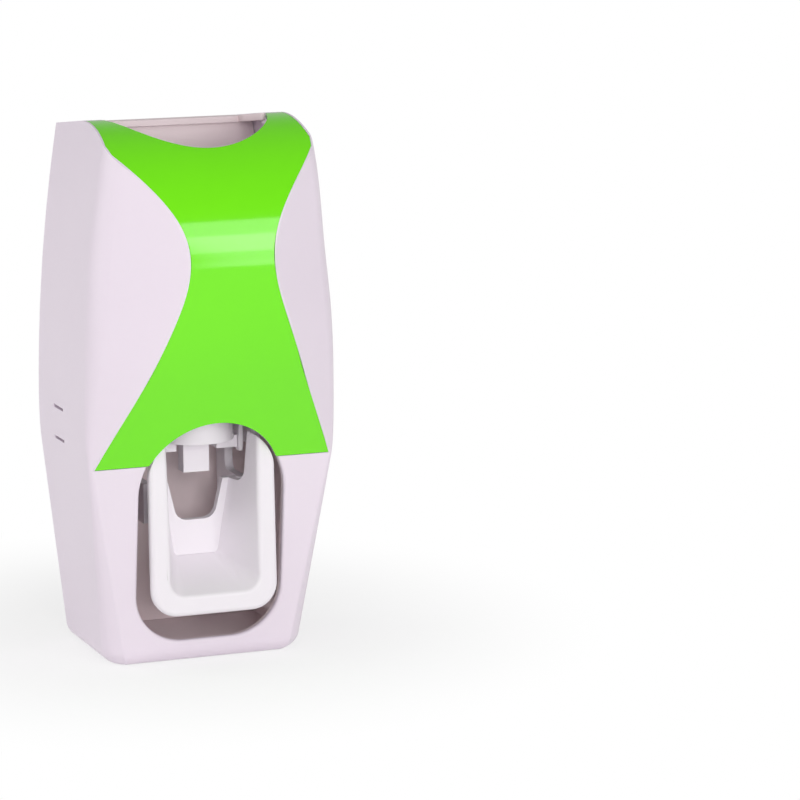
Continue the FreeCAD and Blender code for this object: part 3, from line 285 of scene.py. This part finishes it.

# %% [markdown]
# ## Finishes
# Moulded plastic is never one flat colour. Its surface has a fine grain from the mould, its gloss
# wanders a little, and thick and thin walls differ by a shade. Light also shines through the thin
# walls of the shell, which makes the scoop's chamber look bright and pinkish from inside. That
# light
# is painted in: planes that run just inside the outer skin bound the chamber, and whatever lies
# behind all of them takes a paler, pinker tone, a painted glow of the light through the walls.

# %% Painted light inside the chamber, in metres
# Paler, pinker tone painted inside the chamber: painted light shining through the thin walls, not
# the plastic's own colour.
PAINTED_INNER_LIGHT_TONE = (0.98, 0.85, 0.87)
CHAMBER_REAR, CHAMBER_BASE, CHAMBER_FLOOR, CHAMBER_TOP = -0.0012, -0.080, 0.0012, 0.062
CHAMBER_HALF, CHAMBER_FLARE = 0.0296, 0.1176
CHAMBER_DEPTH, CHAMBER_LEAN = 0.0399, 0.11
CORNER_REACH, CORNER_LEAN, CORNER_SIN, CORNER_COS = 0.0464, 0.1997, 0.6157, 0.788
CHAMBER_EDGE = 0.0006


def painted_light_zone(board, place):
    """1 on the walls and floor of the scoop's chamber, where the painted light goes, 0 on the outer
    skin.
    """
    axes = [board.node("SeparateXYZ", {}, {"Vector": place}, axis) for axis in "XYZ"]
    side = board.node("Math", {"operation": "ABSOLUTE"}, {"Value": axes[0]})
    depth = CHAMBER_REAR - axes[1]
    height = axes[2] - CHAMBER_BASE
    room_beside = CHAMBER_HALF + height * CHAMBER_FLARE - side
    room_ahead = CHAMBER_DEPTH + height * CHAMBER_LEAN - depth
    room_corner = CORNER_REACH + height * CORNER_LEAN - side * CORNER_SIN - depth * CORNER_COS
    room_above = (CHAMBER_TOP - height).least(height - CHAMBER_FLOOR)
    least = room_beside.least(room_ahead).least(room_corner).least(room_above)
    ramp = {"Value": least, "From Min": 0.0, "From Max": CHAMBER_EDGE}
    return board.node("MapRange", {"interpolation_type": "SMOOTHSTEP"}, ramp)


print("lining tone", PAINTED_INNER_LIGHT_TONE)

# %% Moulded plastics
CLOUD_SCALE, CLOUD_SHARE = 22.0, 0.8
SPECK_SCALE, SPECK_DETAIL, SPECK_SHARE = 700.0, 3.0, 0.2
GRAIN_SCALE, GRAIN_DETAIL, GRAIN_DEPTH = 1500.0, 4.0, 0.0002
EVEN = 0.5


def plastic(name, pale, deep, roughness, wander, grain, painted_light=None):
    """Moulded plastic between two tones, with a wandering gloss and a fine grain."""
    material, board, shader, place = new_finish(name)
    cloud = board.noise(place, CLOUD_SCALE)
    speck = board.noise(place, SPECK_SCALE, SPECK_DETAIL)
    tone = board.blend(cloud * CLOUD_SHARE + speck * SPECK_SHARE, (*pale, 1), (*deep, 1))
    # Inside the chamber the tone blends to the painted light tone of light shining through the
    # walls.
    if painted_light:
        tone = board.blend(painted_light_zone(board, place), tone, (*painted_light, 1))
    gloss = roughness + (speck - EVEN) * wander + (cloud - EVEN) * wander
    relief = board.bump(board.noise(place, GRAIN_SCALE, GRAIN_DETAIL), grain, GRAIN_DEPTH)
    set_surface(board, shader, {"Base Color": tone, "Roughness": gloss, "Normal": relief})
    print("finish", name)
    return material


SHELL_PALE, SHELL_DEEP = (0.86, 0.765, 0.855), (0.82, 0.73, 0.82)
# The shell's faces inside the chamber take the painted light tone.
shell_finish = plastic("shell_satin", SHELL_PALE, SHELL_DEEP, 0.38, 0.10, 0.05, PAINTED_INNER_LIGHT_TONE)
scoop_finish = plastic("scoop_white", (0.90, 0.85, 0.90), (0.87, 0.82, 0.87), 0.32, 0.08, 0.04)
# Rear wall, deck and rails: a paler, pinker tone that paints light shining through the shell's
# walls.
inner_painted_light_finish = plastic("inner_satin_painted_light", PAINTED_INNER_LIGHT_TONE, (0.92, 0.77, 0.79), 0.45, 0.10, 0.06)
panel_finish = plastic("panel_green", (0.19, 0.86, 0.003), (0.175, 0.83, 0.002), 0.09, 0.03, 0.006)
silicone_finish = plastic("silicone_pale", (0.70, 0.69, 0.67), (0.62, 0.61, 0.60), 0.55, 0.10, 0.10)
foam_finish = plastic("foam_white", (0.78, 0.78, 0.75), (0.66, 0.66, 0.63), 0.85, 0.10, 0.60)

# %% [markdown]
# ## Steel
# The pivot, its clips, the screws and the spring are stainless steel. Drawing and turning leave
# fine streaks, and one noise drives both their tone and their gloss.

# %% Steel
STREAK_SCALE, STREAK_DETAIL = 1200.0, 3.0
STEEL_DEEP, STEEL_PALE = (0.52, 0.52, 0.53, 1), (0.66, 0.66, 0.67, 1)
STEEL_GLOSS, STEEL_WANDER = 0.22, 0.18


def steel(name):
    """Drawn wire and turned steel with fine streaks."""
    material, board, shader, place = new_finish(name)
    streak = board.noise(place, STREAK_SCALE, STREAK_DETAIL)
    tone = board.blend(streak, STEEL_DEEP, STEEL_PALE)
    gloss = STEEL_GLOSS + streak * STEEL_WANDER
    set_surface(board, shader, {"Base Color": tone, "Metallic": 1.0, "Roughness": gloss})
    print("finish", name)
    return material


steel_finish = steel("steel_drawn")

# %% [markdown]
# ## Which piece gets which finish
# The solids of the frame already have the right shapes, so they stay and only change their
# material. The rear wall and the tube's deck are moulded like the shell; they take the paler,
# pinker tone of the painted light inside the chamber.

# %% Hand the finishes to the CAD nodes
FINISH_OF_NODE = {
    "front_shell": shell_finish, "back_plate": inner_painted_light_finish, "tube_deck": inner_painted_light_finish,
    "front_panel": panel_finish, "trigger": scoop_finish, "nozzle": scoop_finish,
    "pump_body": scoop_finish, "cylinder_cap": scoop_finish, "piston": scoop_finish,
    "valve_ring": scoop_finish, "inlet_sleeve": silicone_finish, "inlet_valve": silicone_finish,
    "outlet_valve": silicone_finish, "cap_gasket": silicone_finish, "piston_seal": silicone_finish,
    "return_spring": steel_finish, "trigger_pin": steel_finish, "pin_clips": steel_finish,
    "case_screws": steel_finish, "pump_screws": steel_finish, "adhesive_pad": foam_finish,
}
for name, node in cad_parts.items():
    node.data.materials.clear()
    node.data.materials.append(FINISH_OF_NODE[name])
print("finished nodes:", len(FINISH_OF_NODE))

# %% [markdown]
# ## The glossy panel
# The panel is a curved sheet that bends in one direction only, so straight lines run across it
# and its reflections stay straight. A triangulated solid breaks such a reflection, so the panel is
# built again as an even grid on the same curve: a straight chin, a slow arc up to the waist and a
# tighter roll over the top. The grid is fitted between the arch below, the mouth above and the
# hourglass edges and given its thickness. Its border is set back a little to round the edge, and
# the normals come from the curve itself, so the bright band stays clean up to the edge.

# %% Curve of the front, in mm
MM = 0.001
REAR_Y, BASE_Z = -1.2, -80.0
HIP_DEPTH, HIP_Z = 47.6, 60.0
WAIST_DEPTH, WAIST_Z = 67.2, 119.2
ROLL, BREAST = 40.0, 77.97
ROLL_DEPTH, BREAST_DEPTH = WAIST_DEPTH - ROLL, WAIST_DEPTH - BREAST
hip_away = math.hypot(HIP_DEPTH - BREAST_DEPTH, HIP_Z - WAIST_Z)
CHIN_TILT = math.atan2(HIP_Z - WAIST_Z, HIP_DEPTH - BREAST_DEPTH) + math.acos(BREAST / hip_away)
CHIN = math.sqrt(hip_away ** 2 - BREAST ** 2)
WAIST_AT = CHIN - BREAST * CHIN_TILT
ROLL_TURN = math.radians(97)
ROLL_END = WAIST_AT + ROLL * ROLL_TURN


def at(x, depth, z):
    """A point in mm across, ahead of the rear face and above the base."""
    return Vector((x, REAR_Y - depth, BASE_Z + z)) * MM


def front_curve(run):
    """Depth, height and tilt of the front's normal, a run along the curve from the hip."""
    if run < CHIN:
        left = CHIN - run
        depth = BREAST_DEPTH + BREAST * math.cos(CHIN_TILT) + left * math.sin(CHIN_TILT)
        z = WAIST_Z + BREAST * math.sin(CHIN_TILT) - left * math.cos(CHIN_TILT)
        return depth, z, CHIN_TILT
    if run < WAIST_AT:
        tilt = (run - WAIST_AT) / BREAST
        return BREAST_DEPTH + BREAST * math.cos(tilt), WAIST_Z + BREAST * math.sin(tilt), tilt
    tilt = (run - WAIST_AT) / ROLL
    return ROLL_DEPTH + ROLL * math.cos(tilt), WAIST_Z + ROLL * math.sin(tilt), tilt


print("front curve:", round(ROLL_END, 1), "mm long")

# %% Edges of the panel, in mm
CHEEK_TURN = math.radians(38)
CHEEK_SIN, CHEEK_COS = math.sin(CHEEK_TURN), math.cos(CHEEK_TURN)
HIP_REACH, CHEEK_REACH, WAIST_REACH = 60.12, 63.0, 60.55
CHEEK_Z, CHEEK_RISE, CHEEK_EASE, CHEEK_FALL = 95.0, 35.0, 1.15, 35.0
LEAN_Z, LEAN_BOW = 138.0, 80.0
PANEL_LIP = 0.45
CREASE_Z, KINK_Z, KINK_HALF = 146.0, 152.0, 30.3
SHOULDER_Z, SHOULDER_HALF, EAR_Z, EAR_HALF = 154.2, 31.1, 164.0, 29.66
ARCH_Z, ARCH_RADIUS, PANEL_BASE_Z = 50.9, 21.6, 60.06
MOUTH_HALF, MOUTH_DEPTH, EAR_DEPTH = 24.5, 49.0, 25.7
SOLVE_STEPS = 50


def between(value, start, end, first, last):
    """The straight line from (start, first) to (end, last)."""
    return first + (last - first) * (value - start) / (end - start)


def cheek_reach(z):
    """Distance of the cheek's plane from the middle: fullest above the hip, slimmer at the roll."""
    if z < CHEEK_Z:
        return CHEEK_REACH - (CHEEK_REACH - HIP_REACH) * ((CHEEK_Z - z) / CHEEK_RISE) ** CHEEK_EASE
    ease = (1 + math.cos(math.pi * min(1, (z - CHEEK_Z) / CHEEK_FALL))) / 2
    lean = max(0, z - LEAN_Z) ** 2 / (2 * LEAN_BOW)
    return WAIST_REACH + (CHEEK_REACH - WAIST_REACH) * ease - lean


def cheek_half(depth, z):
    """Half width where the cheek meets the front, less the strip of shell beside the panel."""
    return (cheek_reach(z) - CHEEK_COS * depth) / CHEEK_SIN - PANEL_LIP


CREASE_HALF = cheek_half(ROLL_DEPTH + math.sqrt(ROLL ** 2 - (CREASE_Z - WAIST_Z) ** 2), CREASE_Z)


def half_edge(run):
    """Half width of the panel at a run along its curve: along the cheek, the kink and the ear."""
    depth, z, tilt = front_curve(run)
    if z > SHOULDER_Z:
        return between(z, SHOULDER_Z, EAR_Z, SHOULDER_HALF, EAR_HALF)
    if z > KINK_Z:
        return between(z, KINK_Z, SHOULDER_Z, KINK_HALF, SHOULDER_HALF)
    if z > CREASE_Z:
        return between(z, CREASE_Z, KINK_Z, CREASE_HALF, KINK_HALF)
    return cheek_half(depth, z)


def arch_height(x):
    """Height of the panel's lower edge: straight, with a round arch over the scoop."""
    if abs(x) >= ARCH_RADIUS:
        return PANEL_BASE_Z
    return max(PANEL_BASE_Z, ARCH_Z + math.sqrt(ARCH_RADIUS ** 2 - x ** 2))


def mouth_depth(x):
    """Depth of the panel's upper edge: the ears' ends, with a round mouth between them."""
    if abs(x) >= MOUTH_HALF:
        return EAR_DEPTH
    return max(EAR_DEPTH, MOUTH_DEPTH - MOUTH_HALF + math.sqrt(MOUTH_HALF ** 2 - x ** 2))


def solve(rising, low, high):
    """Where a rising function crosses zero."""
    for step in range(SOLVE_STEPS):
        middle = (low + high) / 2
        if rising(middle) < 0:
            low = middle
        else:
            high = middle
    return low


def panel_start(share):
    """Run at which a column of the panel leaves the arch."""
    def above_arch(run):
        return front_curve(run)[1] - arch_height(share * half_edge(run))
    return solve(above_arch, 0, WAIST_AT)


def panel_end(share):
    """Run at which a column of the panel reaches the mouth."""
    def past_mouth(run):
        return mouth_depth(share * half_edge(run)) - front_curve(run)[0]
    return solve(past_mouth, WAIST_AT, ROLL_END)


print("panel half width at the waist:", round(half_edge(WAIST_AT), 2), "mm")

# %% Grid for the panel
PANEL_THICK = 1.6
PANEL_ROUND, EDGE_STEP = 0.14, 0.2
LOW_JOIN, HIGH_JOIN = 24.0, 96.0
LOW_ROWS, LEVEL_ROWS, HIGH_ROWS = 26, 72, 36
ARCH_SHARE, EAR_SHARE, EDGE_SHARE = 0.5674, 0.8267, 0.993
ARCH_COLUMNS, SIDE_COLUMNS = 24, 5
ARCH_TURN = math.radians(71)


def spread(start, end, count):
    """Even steps from a start up to, but without, the end."""
    return [start + (end - start) * index / count for index in range(count)]


def stations(start, end):
    """Runs up one column: from the arch to a level row, level rows, then on to the mouth."""
    runs = [start] + spread(start + EDGE_STEP, LOW_JOIN, LOW_ROWS)
    runs += spread(LOW_JOIN, HIGH_JOIN, LEVEL_ROWS) + spread(HIGH_JOIN, end - EDGE_STEP, HIGH_ROWS)
    return runs + [end - EDGE_STEP, end]


def show(name, shape):
    """Turn a bmesh into a smooth object."""
    bmesh.ops.recalc_face_normals(shape, faces=shape.faces)
    mesh = bpy.data.meshes.new(name)
    shape.to_mesh(mesh)
    shape.free()
    mesh.polygons.foreach_set("use_smooth", [True] * len(mesh.polygons))
    piece = bpy.data.objects.new(name, mesh)
    bpy.context.scene.collection.objects.link(piece)
    return piece


def grid_solid(name, outer, inner):
    """A closed sheet from two grids of points, front and rear."""
    shape = bmesh.new()
    front = [[shape.verts.new(point) for point in row] for row in outer]
    rear = [[shape.verts.new(point) for point in row] for row in inner]
    rows, columns = len(front), len(front[0])
    for i in range(rows - 1):
        for j in range(columns - 1):
            shape.faces.new((front[i][j], front[i][j + 1], front[i + 1][j + 1], front[i + 1][j]))
            shape.faces.new((rear[i][j], rear[i + 1][j], rear[i + 1][j + 1], rear[i][j + 1]))
    border = [(0, j) for j in range(columns)] + [(i, columns - 1) for i in range(1, rows)]
    border += [(rows - 1, j) for j in range(columns - 2, -1, -1)]
    border += [(i, 0) for i in range(rows - 2, 0, -1)]
    for (i, j), (k, m) in zip(border, border[1:] + border[:1]):
        shape.faces.new((front[k][m], front[i][j], rear[i][j], rear[k][m]))
    return show(name, shape)


# %% The panel
def column_shares():
    """Columns across the panel, as shares of its half width: closest near the arch's ends."""
    turns = spread(0, ARCH_TURN, ARCH_COLUMNS)
    half = [ARCH_SHARE * math.sin(turn) / math.sin(ARCH_TURN) for turn in turns]
    half += spread(ARCH_SHARE, EAR_SHARE, SIDE_COLUMNS)
    half += spread(EAR_SHARE, EDGE_SHARE, SIDE_COLUMNS) + [EDGE_SHARE, 1]
    return [-share for share in reversed(half[1:])] + half


def make_panel():
    """Points and normals of the front and the rear, row by row, then the mesh."""
    shares = column_shares()
    columns = [stations(panel_start(share), panel_end(share)) for share in shares]
    last = len(columns[0]) - 1
    outer, inner, outer_ways, inner_ways = [], [], [], []
    for row in range(last + 1):
        front_row, rear_row = [], []
        for share, runs in zip(shares, columns):
            depth, z, tilt = front_curve(runs[row])
            way = Vector((0, -math.cos(tilt), math.sin(tilt)))
            along = Vector((0, math.sin(tilt), math.cos(tilt)))
            out = Vector((int(share), 0, 0)) + along * ((row == last) - (row == 0))
            sink = PANEL_ROUND if out.length else 0
            point = at(share * half_edge(runs[row]), depth, z)
            front_row.append(point - way * sink * MM)
            rear_row.append(point - way * PANEL_THICK * MM)
            outer_ways.append((way + out).normalized())
            inner_ways.append((out - way).normalized())
        outer.append(front_row)
        inner.append(rear_row)
    panel = grid_solid("hourglass_panel", outer, inner)
    panel.data.normals_split_custom_set_from_vertices(outer_ways + inner_ways)
    panel.data.materials.append(panel_finish)
    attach(panel, "housing")
    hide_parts("front_panel")
    print("panel faces:", len(panel.data.polygons))


make_panel()

# %% [markdown]
# ## Pegs behind the panel
# Four round pegs on the panel's rear sit in holes of the shell, and their ends show from inside
# the tube chamber. Each is a short stack of rings that is drawn in at the tip. A station gives the
# ring's distance behind the panel's face and its share of the radius.

# %% Pegs
PEG_RADIUS, PEG_SIDES = 1.6, 24
PEG_STATIONS = ((1.0, 1.0), (5.3, 1.0), (5.58, 0.88), (5.7, 0.7))
PEG_PLACES = ((26.0, 68.0), (7.0, 118.0))


def loft_rings(shape, rings):
    """Skin a run of closed rings and cap its ends."""
    made = [[shape.verts.new(point) for point in ring] for ring in rings]
    for first, second in zip(made, made[1:]):
        for index in range(len(first)):
            after = (index + 1) % len(first)
            shape.faces.new((first[index], first[after], second[after], second[index]))
    shape.faces.new(list(reversed(made[0])))
    shape.faces.new(made[-1])


def peg_ring(x, depth, z, radius):
    turns = spread(0, 2 * math.pi, PEG_SIDES)
    return [at(x + radius * math.cos(turn), depth, z + radius * math.sin(turn)) for turn in turns]


def make_pegs():
    shape = bmesh.new()
    for x, z in PEG_PLACES:
        front = front_curve(solve(lambda run: front_curve(run)[1] - z, 0, ROLL_END))[0]
        for side in (1, -1):
            loft_rings(shape, [
                peg_ring(side * x, front - behind, z, PEG_RADIUS * share)
                for behind, share in PEG_STATIONS
            ])
    pegs = show("panel_pegs", shape)
    pegs.data.materials.append(panel_finish)
    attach(pegs, "housing")
    print("peg faces:", len(pegs.data.polygons))


make_pegs()

# %% [markdown]
# ## Rails beside the open top
# The bead along the rear wall's top edge runs on along both sides of the opening up to the panel's
# ears, where it hides the joint between shell and rear wall. Each rail is one rounded profile
# repeated along the slope of the roof and closed at both ends.

# %% Rails of the opening
RAIL_INNER, RAIL_OUTER, RAIL_HEIGHT, RAIL_ROUND = 24.3, 24.98, 2.2, 0.3
RAIL_DEPTHS = (2.6, 9.0, 16.0, 22.0, 25.2)
REAR_TOP, ROOF_SLOPE = 155.9, 0.13
CORNER_STEPS = 4


def rail_profile(top):
    """Corners of a rounded upright oblong, as pairs of x and z."""
    right, left = RAIL_OUTER - RAIL_ROUND, RAIL_INNER + RAIL_ROUND
    high, low = top - RAIL_ROUND, top - RAIL_HEIGHT + RAIL_ROUND
    middles = ((right, high), (left, high), (left, low), (right, low))
    points = []
    for quarter, (x, z) in enumerate(middles):
        for step in range(CORNER_STEPS):
            turn = math.pi / 2 * (quarter + step / (CORNER_STEPS - 1))
            points.append((x + RAIL_ROUND * math.cos(turn), z + RAIL_ROUND * math.sin(turn)))
    return points


def make_rails():
    shape = bmesh.new()
    for side in (1, -1):
        rings = []
        for depth in RAIL_DEPTHS:
            profile = rail_profile(REAR_TOP + ROOF_SLOPE * depth)
            rings.append([at(side * x, depth, z) for x, z in profile])
        loft_rings(shape, rings)
    rails = show("mouth_rails", shape)
    # The rails take the inner tone with its painted light.
    rails.data.materials.append(inner_painted_light_finish)
    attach(rails, "housing")
    print("rail faces:", len(rails.data.polygons))


make_rails()

# %% [markdown]
# ## The return spring
# A wound spring is a round wire on a helix, with its last turns laid flat so that it sits square
# on the barrel and on the piston's flange. It is swept ring by ring, with the rise eased at both
# ends.

# %% Coil
WIRE = 0.4 * MM
TURNS, FLAT_TURNS = 4.5, 0.6
STEPS_PER_TURN, WIRE_SIDES = 32, 10


def coil_rise(turned):
    """Share of the coil's length after a number of turns: flat, then even, then flat."""
    running = min(max(turned - FLAT_TURNS, 0), TURNS - 2 * FLAT_TURNS)
    return running / (TURNS - 2 * FLAT_TURNS)


def make_spring():
    low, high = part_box("return_spring")
    middle_z = (low.z + high.z) / 2
    radius = (high.x - low.x) / 2 - WIRE
    length = high.y - low.y - 2 * WIRE
    rings = []
    for step in range(int(TURNS * STEPS_PER_TURN) + 1):
        turned = step / STEPS_PER_TURN
        turn = 2 * math.pi * turned
        out = Vector((math.cos(turn), 0, math.sin(turn)))
        centre = Vector((0, low.y + WIRE + length * coil_rise(turned), middle_z)) + out * radius
        ring = []
        for side in range(WIRE_SIDES):
            roll = 2 * math.pi * side / WIRE_SIDES
            ring.append(centre + (out * math.cos(roll) + Vector((0, math.sin(roll), 0))) * WIRE)
        rings.append(ring)
    shape = bmesh.new()
    loft_rings(shape, rings)
    spring = show("wound_spring", shape)
    spring.data.materials.append(steel_finish)
    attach(spring, "housing")
    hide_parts("return_spring")
    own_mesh(spring)
    print("spring rings:", len(rings), "radius", round(radius, 4), "length", round(length, 4))


make_spring()
